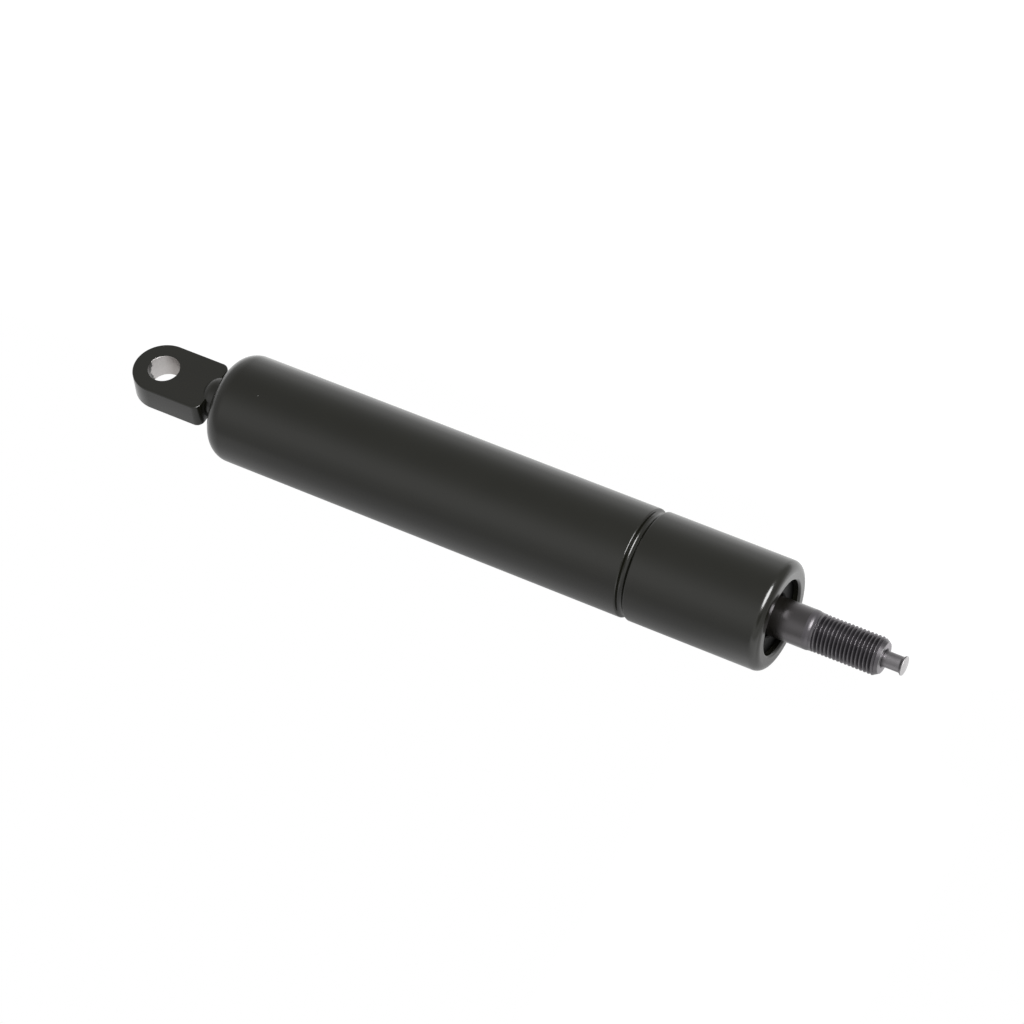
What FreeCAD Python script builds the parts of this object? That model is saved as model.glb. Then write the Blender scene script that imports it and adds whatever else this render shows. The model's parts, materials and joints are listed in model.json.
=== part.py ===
import FreeCAD, Part
import math
import os
from collections import namedtuple

# A lockable gas spring at rest: the rod pushed in and the valve shut. Sizes are in millimetres.
# The origin is the centre of the eye's bore. +X runs along the spring to the rod's end,
# and +Z runs along the eye's bore.

# Eye fitting: a flat tongue, a turned neck and the plug that the tube's base is spun over
EYE_WIDTH = 16.0
EYE_THICKNESS = 7.0
EYE_REACH = 14.9  # bore centre to the tongue's square end
EYE_CORNER_ROUND = 2.0
EYE_EDGE_ROUND = 0.6
EYE_BORE_DIAMETER = 8.2
EYE_BORE_CHAMFER = 0.25
NECK_DIAMETER = 10.6
NECK_LENGTH = 3.8  # tongue's end to the tube's base
NECK_SHOULDER_INSET = 0.6  # tongue's end back to the shoulder's corner
NECK_SHOULDER_SLOPE = 48.0  # degrees between the sunk shoulder and the axis
NECK_SHOULDER_ROUND = 3.0
PLUG_LAND = 1.7  # between the plug's rounded edge and its ring groove

# Pressure tube
TUBE_DIAMETER = 28.0
TUBE_WALL = 1.5
BASE_ROUND = 5.6
BASE_WALL = 2.0
RIM_ROUND = 2.3
RIM_LIP = 2.0
MOUTH_DIAMETER = 19.0
MOUTH_EDGE_ROUND = 0.7
BEAD_WIDTH = 2.25
BEAD_FLOOR = 1.15
BEAD_LEAN = 0.2  # shift of the floor's middle towards the eye
BEAD_DEPTH = 1.1
BEAD_ROUND = 0.45
BEAD_FLOOR_ROUND = 0.75

# Guide and seal package, stacked between the bead and the rim
SUPPORT_THICKNESS = 2.0
SUPPORT_BORE = 12.0
ROD_SEAL_LENGTH = 6.5
ROD_SEAL_HEEL = 2.5
ROD_SEAL_LIP = 1.6
BUSH_LENGTH = 12.0
BUSH_WALL = 1.0
GUIDE_WEB = 6.5  # between the bush and the wiper
WIPER_LENGTH = 4.0
WIPER_HEIGHT = 3.0
WIPER_LIP_LENGTH = 1.2
CLOSING_THICKNESS = 2.0
CLOSING_BORE = 11.0

# Rings that seal on the tube's bore
RING_WIDTH = 2.4
RING_HEIGHT = 2.0
RING_CHAMFER = 0.6
RING_LAND = 1.6

# Rod with its threaded end, and the release pin in it
ROD_DIAMETER = 10.0
ROD_STAND_OUT = 8.7  # rim to the end of the plain shank, rod pushed in
SHANK_CHAMFER = 0.6
STUD_DIAMETER = 9.65  # the thread's plain blank, at its crests
STUD_LENGTH = 18.0
STUD_TIP_LENGTH = 1.5
STUD_TIP_DIAMETER = 7.8
SPIGOT_DIAMETER = 8.0
SPIGOT_LENGTH = 6.0
PIN_DIAMETER = 4.0
PIN_STAND_OUT = 5.3
PIN_HEAD_DIAMETER = 4.9
PIN_HEAD_EDGE = 0.4
PIN_FLARE_LENGTH = 0.5
PIN_MOUTH_DIAMETER = 5.0
PIN_MOUTH_DEPTH = 0.5  # of the countersink round the pin

# Piston with the locking valve
STROKE = 50.0
STOP_DIAMETER = 18.0
STOP_THICKNESS = 1.5
HUB_DIAMETER = 14.0
PISTON_LAND = 1.3
PISTON_SEAL_WIDTH = 3.0
PISTON_SEAL_HEIGHT = 2.2
GLIDE_WIDTH = 2.8
GLIDE_HEIGHT = 1.2
PORT_COUNT = 4
PORT_DIAMETER = 2.0
PORT_MARGIN = 0.6
CHAMBER_DIAMETER = 6.6
SEAT_LIP_HEIGHT = 0.5
SEAT_LIP_WIDTH = 0.8
TAPPET_DIAMETER = 4.9
TAPPET_WAIST = 3.4
TAPPET_OVERLAP = 0.5  # reach of the tappet's full diameter past its seal
TAPPET_HEAD_DIAMETER = 10.0
TAPPET_HEAD_THICKNESS = 1.8
TAPPET_SEAL_WIDTH = 2.2
TAPPET_GUIDE_LENGTH = 4.0
VALVE_SEAL_THICKNESS = 1.2
RELEASE_TRAVEL = 2.5

# Separator piston between the oil and the gas
GAS_LENGTH = 13.55  # plug to separator, rod pushed in
SEPARATOR_CUP_DIAMETER = 16.0
SEPARATOR_CUP_DEPTH = 5.0
SEPARATOR_CUP_ROUND = 1.0
SEPARATOR_DISH_DEPTH = 1.2
OIL_GAP = 0.6  # between the separator and the opened tappet's head

# Clearances and small edges
RUNNING_CLEARANCE = 0.05
SEAT_CLEARANCE = 0.03
PIN_CLEARANCE = 0.1
BODY_CLEARANCE = 0.15  # piston bodies in the tube's bore, which ride on their rings
ROD_CLEARANCE = 0.3  # fixed bodies round the rod that don't guide it
RING_SIDE_CLEARANCE = 0.1
VALVE_GAP = 0.05
END_CLEARANCE = 0.5  # left between the stop washer and the guide package at full stroke
EDGE = 0.3  # leg of the small chamfers that break turned edges

# Radii of the pieces that others fit
tube_r = TUBE_DIAMETER / 2
bore_r = tube_r - TUBE_WALL
base_inner_round = BASE_ROUND - TUBE_WALL
fixed_r = bore_r - SEAT_CLEARANCE
floating_r = bore_r - BODY_CLEARANCE
sliding_ring_r = bore_r - RUNNING_CLEARANCE
neck_r = NECK_DIAMETER / 2
rod_r = ROD_DIAMETER / 2
spigot_r = SPIGOT_DIAMETER / 2
socket_r = spigot_r + SEAT_CLEARANCE
pin_r = PIN_DIAMETER / 2
pin_hole_r = pin_r + PIN_CLEARANCE
tappet_r = TAPPET_DIAMETER / 2
chamber_r = CHAMBER_DIAMETER / 2
bush_outer_r = rod_r + RUNNING_CLEARANCE + BUSH_WALL
wiper_outer_r = rod_r + RUNNING_CLEARANCE + WIPER_HEIGHT
ring_groove_width = RING_WIDTH + 2 * RING_SIDE_CLEARANCE
seal_groove_width = PISTON_SEAL_WIDTH + 2 * RING_SIDE_CLEARANCE
glide_groove_width = GLIDE_WIDTH + 2 * RING_SIDE_CLEARANCE
fixed_ring_floor_r = bore_r - RING_HEIGHT - SEAT_CLEARANCE
sliding_ring_floor_r = sliding_ring_r - RING_HEIGHT - SEAT_CLEARANCE
piston_seal_floor_r = sliding_ring_r - PISTON_SEAL_HEIGHT - RUNNING_CLEARANCE
glide_floor_r = sliding_ring_r - GLIDE_HEIGHT - RUNNING_CLEARANCE

# Places of the plug and the separator, from the eye on
base_x = EYE_REACH + NECK_LENGTH
plug_x = base_x + BASE_WALL
base_ring_x = plug_x + base_inner_round + PLUG_LAND
plug_end_x = base_ring_x + ring_groove_width + RING_LAND
separator_x = plug_end_x + GAS_LENGTH
separator_gas_x = separator_x + RING_LAND
separator_oil_x = separator_gas_x + ring_groove_width + RING_LAND
separator_end_x = separator_oil_x + ring_groove_width + RING_LAND

# Places of the piston and the locking valve, rod pushed in
tappet_x = separator_end_x + OIL_GAP + RELEASE_TRAVEL
valve_seal_x = tappet_x + TAPPET_HEAD_THICKNESS
seat_x = valve_seal_x + VALVE_SEAL_THICKNESS + VALVE_GAP
piston_x = seat_x + SEAT_LIP_HEIGHT
glide_x = piston_x + PISTON_LAND
piston_seal_x = glide_x + glide_groove_width + PISTON_LAND
piston_end_x = piston_seal_x + seal_groove_width + PISTON_LAND
port_x = piston_end_x + PORT_MARGIN + PORT_DIAMETER / 2
tappet_seal_x = port_x + PORT_DIAMETER / 2 + PORT_MARGIN
tappet_guide_x = tappet_seal_x + TAPPET_SEAL_WIDTH
spigot_x = tappet_guide_x + TAPPET_GUIDE_LENGTH
tappet_end_x = spigot_x - VALVE_GAP
shoulder_x = spigot_x + SPIGOT_LENGTH
stop_x = shoulder_x + STOP_THICKNESS

# Places of the guide and seal package, which ends the stroke, and of the rim over it
support_x = stop_x + STROKE + END_CLEARANCE
bead_x = support_x - BEAD_ROUND - BEAD_WIDTH / 2
rod_seal_x = support_x + SUPPORT_THICKNESS
guide_x = rod_seal_x + ROD_SEAL_LENGTH
guide_ring_x = guide_x + RING_LAND
bush_end_x = guide_x + BUSH_LENGTH
wiper_x = bush_end_x + GUIDE_WEB
closing_x = wiper_x + WIPER_LENGTH
lip_x = closing_x + CLOSING_THICKNESS
rim_x = lip_x + RIM_LIP

# Places of the rod's end and the pin's tip, rod pushed in
shank_end_x = rim_x + ROD_STAND_OUT
rod_end_x = shank_end_x + STUD_LENGTH
pin_tip_x = rod_end_x + PIN_STAND_OUT

ORIGIN = FreeCAD.Vector(0, 0, 0)
ALONG = FreeCAD.Vector(1, 0, 0)
UP = FreeCAD.Vector(0, 0, 1)
TINY = 1e-6

Chamfer = namedtuple("Chamfer", "leg")
BROKEN = Chamfer(EDGE)


def outline(corners):
    """Closed wire through (place, finish) corners.

    A finish is 0 for a sharp corner, a number for an arc's radius, or a Chamfer.
    """
    ways_in = []
    ways_out = []
    corner_edges = []
    for index, (place, finish) in enumerate(corners):
        back = (corners[index - 1][0] - place).normalize()
        ahead = (corners[(index + 1) % len(corners)][0] - place).normalize()
        half_angle = back.getAngle(ahead) / 2
        if isinstance(finish, Chamfer):
            setback = finish.leg
        else:
            setback = finish / math.tan(half_angle)
        way_in = place + back * setback
        way_out = place + ahead * setback
        ways_in.append(way_in)
        ways_out.append(way_out)
        if setback == 0:
            corner_edges.append(None)
        elif isinstance(finish, Chamfer):
            corner_edges.append(Part.makeLine(way_in, way_out))
        else:
            sagitta = finish / math.sin(half_angle) - finish
            middle = place + (back + ahead).normalize() * sagitta
            corner_edges.append(Part.Arc(way_in, middle, way_out).toShape())
    edges = []
    for index, corner_edge in enumerate(corner_edges):
        if ways_out[index - 1].distanceToPoint(ways_in[index]) > TINY:
            edges.append(Part.makeLine(ways_out[index - 1], ways_in[index]))
        if corner_edge is not None:
            edges.append(corner_edge)
    return Part.Wire(edges)


def turned(corners):
    """Solid turned about the X axis from the (x, radius, finish) corners of its section."""
    section = outline([(FreeCAD.Vector(x, 0, radius), finish) for x, radius, finish in corners])
    return Part.Face(section).revolve(ORIGIN, ALONG, 360)


def ring(start, end, inner, outer, finish):
    """Ring from start to end along X, with all four corners of its section finished alike."""
    return turned([
        (start, inner, finish),
        (end, inner, finish),
        (end, outer, finish),
        (start, outer, finish),
    ])


def groove(start, width, floor, surface):
    """Four section corners of a square groove cut from the surface radius to the floor radius."""
    return [
        (start, surface, 0),
        (start, floor, 0),
        (start + width, floor, 0),
        (start + width, surface, 0),
    ]


def bead(radius, forward):
    """Section corners of the rolled bead at a surface of the wall, in either order along X."""
    floor_x = bead_x - BEAD_LEAN
    corners = [
        (bead_x - BEAD_WIDTH / 2, radius, BEAD_ROUND),
        (floor_x - BEAD_FLOOR / 2, radius - BEAD_DEPTH, BEAD_FLOOR_ROUND),
        (floor_x + BEAD_FLOOR / 2, radius - BEAD_DEPTH, BEAD_FLOOR_ROUND),
        (bead_x + BEAD_WIDTH / 2, radius, BEAD_ROUND),
    ]
    return corners if forward else corners[::-1]


def pressure_tube():
    """Tube with a spun-in base, a rolled bead and a rolled-in rim, all of one wall."""
    hole_r = neck_r + SEAT_CLEARANCE
    mouth_r = MOUTH_DIAMETER / 2
    section = [(base_x, hole_r, BROKEN), (base_x, tube_r, BASE_ROUND)]
    section += bead(tube_r, True)
    section += [
        (rim_x, tube_r, RIM_ROUND),
        (rim_x, mouth_r, MOUTH_EDGE_ROUND),
        (lip_x, mouth_r, BROKEN),
        (lip_x, bore_r, BROKEN),
    ]
    section += bead(bore_r, False)
    section += [(plug_x, bore_r, base_inner_round), (plug_x, hole_r, BROKEN)]
    return turned(section)


def eye_tongue():
    """Flat tongue with a full-round nose, softened along the edges of both faces."""
    half_width = EYE_WIDTH / 2
    low = -EYE_THICKNESS / 2
    plan = outline([
        (FreeCAD.Vector(-half_width, -half_width, low), half_width),
        (FreeCAD.Vector(EYE_REACH, -half_width, low), EYE_CORNER_ROUND),
        (FreeCAD.Vector(EYE_REACH, half_width, low), EYE_CORNER_ROUND),
        (FreeCAD.Vector(-half_width, half_width, low), half_width),
    ])
    slab = Part.Face(plan).extrude(UP * EYE_THICKNESS)
    face_edges = [edge for edge in slab.Edges if edge.BoundBox.ZLength < TINY]
    return slab.makeFillet(EYE_EDGE_ROUND, face_edges)


def eye_bore():
    """Through bore of the eye with a chamfer at each face, as a cutting tool."""
    radius = EYE_BORE_DIAMETER / 2
    half = EYE_THICKNESS / 2
    tool = Part.makeCylinder(radius, EYE_THICKNESS, UP * -half, UP)
    wide = radius + EYE_BORE_CHAMFER
    for side in (1, -1):
        flare = Part.makeCone(wide, radius, EYE_BORE_CHAMFER, UP * (side * half), UP * -side)
        tool = tool.fuse(flare)
    return tool


def eye_fitting():
    """Tongue, neck and base plug in one piece, held by the tube's spun base."""
    neck_x = EYE_REACH - NECK_SHOULDER_INSET
    shoulder_length = neck_r / math.tan(math.radians(NECK_SHOULDER_SLOPE))
    neck_and_plug = [
        (neck_x - shoulder_length, 0, 0),
        (neck_x, neck_r, NECK_SHOULDER_ROUND),
        (plug_x, neck_r, 0),
        (plug_x, fixed_r, base_inner_round),
    ]
    neck_and_plug += groove(base_ring_x, ring_groove_width, fixed_ring_floor_r, fixed_r)
    neck_and_plug += [(plug_end_x, fixed_r, BROKEN), (plug_end_x, 0, 0)]
    return eye_tongue().fuse(turned(neck_and_plug)).removeSplitter().cut(eye_bore())


def seal_ring(groove_x, floor, outer):
    """O-ring squeezed into its groove, up to the given outer radius."""
    start = groove_x + RING_SIDE_CLEARANCE
    return ring(start, start + RING_WIDTH, floor + SEAT_CLEARANCE, outer, Chamfer(RING_CHAMFER))


def base_o_ring():
    """Seal of the base plug."""
    return seal_ring(base_ring_x, fixed_ring_floor_r, bore_r)


def guide_o_ring():
    """Seal of the rod guide."""
    return seal_ring(guide_ring_x, fixed_ring_floor_r, bore_r)


def separator_gas_seal():
    """Seal of the separator on the gas side."""
    return seal_ring(separator_gas_x, sliding_ring_floor_r, sliding_ring_r)


def separator_oil_seal():
    """Seal of the separator on the oil side."""
    return seal_ring(separator_oil_x, sliding_ring_floor_r, sliding_ring_r)


def seal_support_washer():
    """Washer that rests on the bead and carries the rod seal."""
    return ring(support_x, rod_seal_x, SUPPORT_BORE / 2, fixed_r, BROKEN)


def rod_seal():
    """Lip seal with an open side towards the oil, one lip on the rod and one on the tube."""
    inner = rod_r + RUNNING_CLEARANCE
    heel_x = guide_x - ROD_SEAL_HEEL
    return turned([
        (rod_seal_x, inner, 0),
        (guide_x, inner, BROKEN),
        (guide_x, fixed_r, BROKEN),
        (rod_seal_x, fixed_r, 0),
        (rod_seal_x, fixed_r - ROD_SEAL_LIP, BROKEN),
        (heel_x, fixed_r - 2 * ROD_SEAL_LIP, BROKEN),
        (heel_x, inner + 2 * ROD_SEAL_LIP, BROKEN),
        (rod_seal_x, inner + ROD_SEAL_LIP, BROKEN),
    ])


def rod_guide():
    """Guide body: bush seat on the oil side, wiper recess on the outside and a ring groove."""
    section = [
        (guide_x, bush_outer_r + SEAT_CLEARANCE, BROKEN),
        (guide_x, fixed_r, BROKEN),
    ]
    section += groove(guide_ring_x, ring_groove_width, fixed_ring_floor_r, fixed_r)
    section += [
        (closing_x, fixed_r, BROKEN),
        (closing_x, wiper_outer_r + SEAT_CLEARANCE, BROKEN),
        (wiper_x, wiper_outer_r + SEAT_CLEARANCE, 0),
        (wiper_x, rod_r + ROD_CLEARANCE, BROKEN),
        (bush_end_x, rod_r + ROD_CLEARANCE, 0),
        (bush_end_x, bush_outer_r + SEAT_CLEARANCE, 0),
    ]
    return turned(section)


def guide_bush():
    """Plain bearing that the rod runs in."""
    return ring(guide_x, bush_end_x, rod_r + RUNNING_CLEARANCE, bush_outer_r, BROKEN)


def rod_wiper():
    """Wiper ring with a lip that points outwards along the rod."""
    inner = rod_r + RUNNING_CLEARANCE
    lip_root_x = closing_x - WIPER_LIP_LENGTH
    return turned([
        (wiper_x, inner, BROKEN),
        (closing_x, inner, 0),
        (lip_root_x, inner + WIPER_LIP_LENGTH, BROKEN),
        (closing_x, wiper_outer_r - WIPER_LIP_LENGTH, BROKEN),
        (closing_x, wiper_outer_r, BROKEN),
        (wiper_x, wiper_outer_r, BROKEN),
    ])


def closing_washer():
    """Washer that the rim is rolled over."""
    return ring(closing_x, lip_x, CLOSING_BORE / 2, fixed_r, BROKEN)


def piston_rod():
    """Hollow rod: spigot, plain shank and the blank of the threaded end."""
    stud_r = STUD_DIAMETER / 2
    mouth_x = rod_end_x - PIN_MOUTH_DEPTH
    return turned([
        (spigot_x, pin_hole_r, 0),
        (spigot_x, spigot_r, BROKEN),
        (stop_x, spigot_r, 0),
        (stop_x, rod_r, BROKEN),
        (shank_end_x - SHANK_CHAMFER, rod_r, 0),
        (shank_end_x, stud_r, 0),
        (rod_end_x - STUD_TIP_LENGTH, stud_r, 0),
        (rod_end_x, STUD_TIP_DIAMETER / 2, 0),
        (rod_end_x, PIN_MOUTH_DIAMETER / 2, 0),
        (mouth_x, pin_hole_r, 0),
    ])


def release_pin():
    """Pin in the rod's bore, with a head flared by upsetting its end."""
    head_x = pin_tip_x - PIN_HEAD_EDGE
    head_r = PIN_HEAD_DIAMETER / 2
    return turned([
        (tappet_end_x, 0, 0),
        (tappet_end_x, pin_r, BROKEN),
        (head_x - PIN_FLARE_LENGTH, pin_r, PIN_FLARE_LENGTH),
        (head_x, head_r, 0),
        (pin_tip_x, head_r, 0),
        (pin_tip_x, 0, 0),
    ])


def stop_washer():
    """End stop, clamped between the rod's shoulder and the piston's hub."""
    return ring(shoulder_x, stop_x, spigot_r + SEAT_CLEARANCE, STOP_DIAMETER / 2, BROKEN)


def port():
    """One radial hole from the hub's outside to the valve chamber, as a cutting tool along Z."""
    return Part.makeCylinder(PORT_DIAMETER / 2, HUB_DIAMETER, ALONG * port_x, UP)


def piston_body():
    """Piston with ring grooves, a hub for the rod and the valve chamber with its seat lip."""
    hub_r = HUB_DIAMETER / 2
    lip_r = chamber_r + SEAT_LIP_WIDTH
    section = [
        (seat_x, chamber_r, BROKEN),
        (seat_x, lip_r, BROKEN),
        (piston_x, lip_r, 0),
        (piston_x, floating_r, BROKEN),
    ]
    section += groove(glide_x, glide_groove_width, glide_floor_r, floating_r)
    section += groove(piston_seal_x, seal_groove_width, piston_seal_floor_r, floating_r)
    section += [
        (piston_end_x, floating_r, BROKEN),
        (piston_end_x, hub_r, BROKEN),
        (shoulder_x, hub_r, BROKEN),
        (shoulder_x, socket_r, BROKEN),
        (tappet_seal_x, socket_r, 0),
        (tappet_seal_x, chamber_r, 0),
    ]
    body = turned(section)
    for index in range(PORT_COUNT):
        hole = port()
        hole.rotate(ORIGIN, ALONG, index * 360 / PORT_COUNT)
        body = body.cut(hole)
    return body


def piston_seal():
    """Seal ring of the piston, free to turn in its groove."""
    start = piston_seal_x + RING_SIDE_CLEARANCE
    inner = sliding_ring_r - PISTON_SEAL_HEIGHT
    return ring(start, start + PISTON_SEAL_WIDTH, inner, sliding_ring_r, BROKEN)


def piston_glide_ring():
    """Guide band of the piston, free to turn in its groove."""
    start = glide_x + RING_SIDE_CLEARANCE
    inner = sliding_ring_r - GLIDE_HEIGHT
    return ring(start, start + GLIDE_WIDTH, inner, sliding_ring_r, BROKEN)


def tappet_seal():
    """O-ring round the tappet, held between the chamber's shoulder and the tappet's bush."""
    inner = tappet_r + RUNNING_CLEARANCE
    return ring(tappet_seal_x, tappet_guide_x, inner, spigot_r, BROKEN)


def tappet_guide():
    """Bush that guides the tappet, clamped by the rod's spigot."""
    inner = tappet_r + RUNNING_CLEARANCE
    return ring(tappet_guide_x, spigot_x, inner, spigot_r, BROKEN)


def valve_tappet():
    """Tappet: head on the base side, waist in the chamber and a full stem in its seal and bush."""
    waist_r = TAPPET_WAIST / 2
    head_r = TAPPET_HEAD_DIAMETER / 2
    stem_x = tappet_seal_x - TAPPET_OVERLAP
    return turned([
        (tappet_x, 0, 0),
        (tappet_x, head_r, BROKEN),
        (valve_seal_x, head_r, BROKEN),
        (valve_seal_x, waist_r, 0),
        (stem_x, waist_r, 0),
        (stem_x + tappet_r - waist_r, tappet_r, 0),
        (tappet_end_x, tappet_r, BROKEN),
        (tappet_end_x, 0, 0),
    ])


def valve_seal():
    """Seal disc between the tappet's head and the seat lip."""
    inner = TAPPET_WAIST / 2 + SEAT_CLEARANCE
    return ring(valve_seal_x, seat_x - VALVE_GAP, inner, TAPPET_HEAD_DIAMETER / 2 - EDGE, BROKEN)


def separator_piston():
    """Floating piston: a cup on the gas side, a dish on the oil side and two ring grooves."""
    cup_r = SEPARATOR_CUP_DIAMETER / 2
    section = [
        (separator_x + SEPARATOR_CUP_DEPTH, 0, 0),
        (separator_x + SEPARATOR_CUP_DEPTH, cup_r, SEPARATOR_CUP_ROUND),
        (separator_x, cup_r, BROKEN),
        (separator_x, floating_r, BROKEN),
    ]
    section += groove(separator_gas_x, ring_groove_width, sliding_ring_floor_r, floating_r)
    section += groove(separator_oil_x, ring_groove_width, sliding_ring_floor_r, floating_r)
    section += [
        (separator_end_x, floating_r, BROKEN),
        (separator_end_x, cup_r, BROKEN),
        (separator_end_x - SEPARATOR_DISH_DEPTH, cup_r - SEPARATOR_DISH_DEPTH, 0),
        (separator_end_x - SEPARATOR_DISH_DEPTH, 0, 0),
    ]
    return turned(section)


PIECES = [
    pressure_tube,
    eye_fitting,
    base_o_ring,
    seal_support_washer,
    rod_seal,
    rod_guide,
    guide_bush,
    guide_o_ring,
    rod_wiper,
    closing_washer,
    piston_rod,
    stop_washer,
    piston_body,
    piston_seal,
    piston_glide_ring,
    tappet_seal,
    tappet_guide,
    release_pin,
    valve_tappet,
    valve_seal,
    separator_piston,
    separator_gas_seal,
    separator_oil_seal,
]

os.makedirs("parts", exist_ok=True)
for make in PIECES:
    make().exportStep("parts/" + make.__name__ + ".step")
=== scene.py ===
"""Looks of a lockable gas spring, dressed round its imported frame.

Lengths are metres in the part's own frame. The eye's bore is at the origin with its axis
along Z, and the spring lies along +X from the eye to the threaded end of the rod.
"""
import json
import logging
import math
from abc import ABC, abstractmethod
from collections.abc import Mapping, Sequence
from dataclasses import dataclass
from enum import Enum
from typing import Any, ClassVar, Optional, Self

import bmesh
import bpy
import numpy as np
from bpy.types import ID, Material, Mesh, Node, NodeSocket, NodeTree, Object
from mathutils import Matrix, Vector
from numpy.typing import NDArray


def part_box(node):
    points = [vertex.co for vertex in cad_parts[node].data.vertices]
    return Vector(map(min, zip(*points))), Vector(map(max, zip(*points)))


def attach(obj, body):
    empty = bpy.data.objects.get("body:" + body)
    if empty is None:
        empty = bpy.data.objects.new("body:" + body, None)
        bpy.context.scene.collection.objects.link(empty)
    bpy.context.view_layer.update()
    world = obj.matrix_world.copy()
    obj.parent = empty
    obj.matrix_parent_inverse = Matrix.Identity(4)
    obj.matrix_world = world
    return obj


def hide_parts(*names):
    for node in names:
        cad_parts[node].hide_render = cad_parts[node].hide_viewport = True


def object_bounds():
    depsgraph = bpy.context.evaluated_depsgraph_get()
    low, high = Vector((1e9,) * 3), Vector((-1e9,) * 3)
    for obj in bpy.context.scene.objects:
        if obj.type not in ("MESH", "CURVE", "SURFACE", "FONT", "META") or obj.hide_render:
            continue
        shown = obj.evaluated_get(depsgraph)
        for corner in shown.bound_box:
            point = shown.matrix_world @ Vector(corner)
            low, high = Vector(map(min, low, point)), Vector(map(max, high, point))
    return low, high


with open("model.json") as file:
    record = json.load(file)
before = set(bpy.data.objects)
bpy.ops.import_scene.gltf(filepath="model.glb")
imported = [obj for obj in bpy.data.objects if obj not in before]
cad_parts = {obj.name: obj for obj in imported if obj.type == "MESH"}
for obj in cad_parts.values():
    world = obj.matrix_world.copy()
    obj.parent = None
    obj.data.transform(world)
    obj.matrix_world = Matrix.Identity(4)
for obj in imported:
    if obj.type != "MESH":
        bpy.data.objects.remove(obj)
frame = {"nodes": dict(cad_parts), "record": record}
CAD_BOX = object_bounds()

LOG = logging.getLogger("gas_spring")

MM = 0.001
TAU = 2 * math.pi
MERGE_DISTANCE = 1e-8  # points closer than this are one point
SHARP_ANGLE = math.radians(32)  # edges that turn more than this stay sharp
RUN_SPACING = 2.5 * MM  # rows along a straight run
ARC_SPACING = 0.25 * MM  # rows along a rounded corner
ARC_STEPS = 8  # least steps in a rounded corner
GUARD = 0.03 * MM  # distance of the rows that keep a flat run flat beside a rounding
SHORT_RUN = 4 * GUARD  # runs shorter than this get no rows of their own
TUBE_SEGMENTS = 192
ROD_SEGMENTS = 100
TONE_RANGE = (0.3, 0.7)  # range that nearly all of a noise lies in
WHITE = (1, 1, 1, 1)

Array = NDArray[np.float64]
Colour = tuple[float, float, float]
Span = tuple[float, float]
Point = tuple[float, float, float]
Ends = Sequence[Any]  # low and high end of a range, as numbers or sockets


class Body(Enum):
    """Bodies of the frame that carry the new pieces."""

    CYLINDER = "cylinder"
    ROD = "rod"
    RELEASE = "release"


class Slot(Enum):
    """Material slots of the record."""

    BLACK_PAINT = "black_paint"
    EYE_PAINT = "eye_paint"
    NITRIDED_ROD = "nitrided_rod"
    BRIGHT_STEEL = "bright_steel"
    DARK_STEEL = "dark_steel"
    BLACK_RUBBER = "black_rubber"
    SEAL_POLYMER = "seal_polymer"
    GUIDE_ALLOY = "guide_alloy"
    BUSH_BRONZE = "bush_bronze"


class Effect(Enum):
    """Surface effects that several finishes share: name, inputs and outputs of each node group."""

    GRAIN = ("surface_grain", ("Size",), ("Height", "Tone"))
    SPECKS = ("dust_specks", ("Spacing", "Radius"), ("Mask",))
    TURNING = ("turning_marks", ("Feed",), ("Height", "Tone"))


@dataclass(frozen=True)
class Corner:
    """Corner of an outline."""

    x: float  # place along the outline's first axis
    r: float  # place along its second axis, which is the radius of a turned section
    rounding: float = 0.0  # radius of the arc that replaces the corner, or 0 for a sharp one
    spacing: float = RUN_SPACING  # distance of the points along the straight run that leaves it


def unit(vectors: Array) -> Array:
    """Vectors along the last axis, scaled to length one."""
    return vectors / np.linalg.norm(vectors, axis=-1, keepdims=True)


def corner_arc(place: Array, back: Array, ahead: Array, rounding: float) -> Array:
    """Points of a rounded corner.

    With a half angle h between the sides, the arc starts and ends rounding / tan h from the
    corner, about a centre rounding / sin h along the bisector. Its points are the blend
    (sin((1 - t) w) v0 + sin(t w) v1) / sin w of the end spokes v0 and v1, for a sweep w.

    Args:
        place: The corner.
        back: Unit vector to the corner before.
        ahead: Unit vector to the corner after.
        rounding: Radius of the arc.

    Returns:
        The points in order, or the corner alone if it is sharp.
    """
    if rounding == 0:
        return place[None]
    half = math.acos(float(np.clip(back @ ahead, -1, 1))) / 2
    setback = rounding / math.tan(half)
    centre = place + unit(back + ahead) * rounding / math.sin(half)
    first = place + back * setback - centre
    last = place + ahead * setback - centre
    sweep = math.pi - 2 * half
    steps = max(ARC_STEPS, math.ceil(rounding * sweep / ARC_SPACING))
    share = np.linspace(0, 1, steps + 1)[:, None]
    return centre + (np.sin((1 - share) * sweep) * first + np.sin(share * sweep) * last) / math.sin(sweep)


def straight_run(start: Array, end: Array, spacing: float) -> Array:
    """Points between two ends of a straight run, evenly spaced, with a guard beside each end.

    Args:
        start: First end, which isn't among the points.
        end: Last end, which isn't among the points.
        spacing: Longest distance between the points.

    Returns:
        The points in order, none on a very short run.
    """
    length = float(np.linalg.norm(end - start))
    if length < SHORT_RUN:
        return np.empty((0, 2))
    even = np.linspace(0, 1, max(1, math.ceil(length / spacing)) + 1)[1:-1]
    guard = GUARD / length
    share = np.unique(np.concatenate([[guard, 1 - guard], even]))
    return start + share[:, None] * (end - start)


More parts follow.
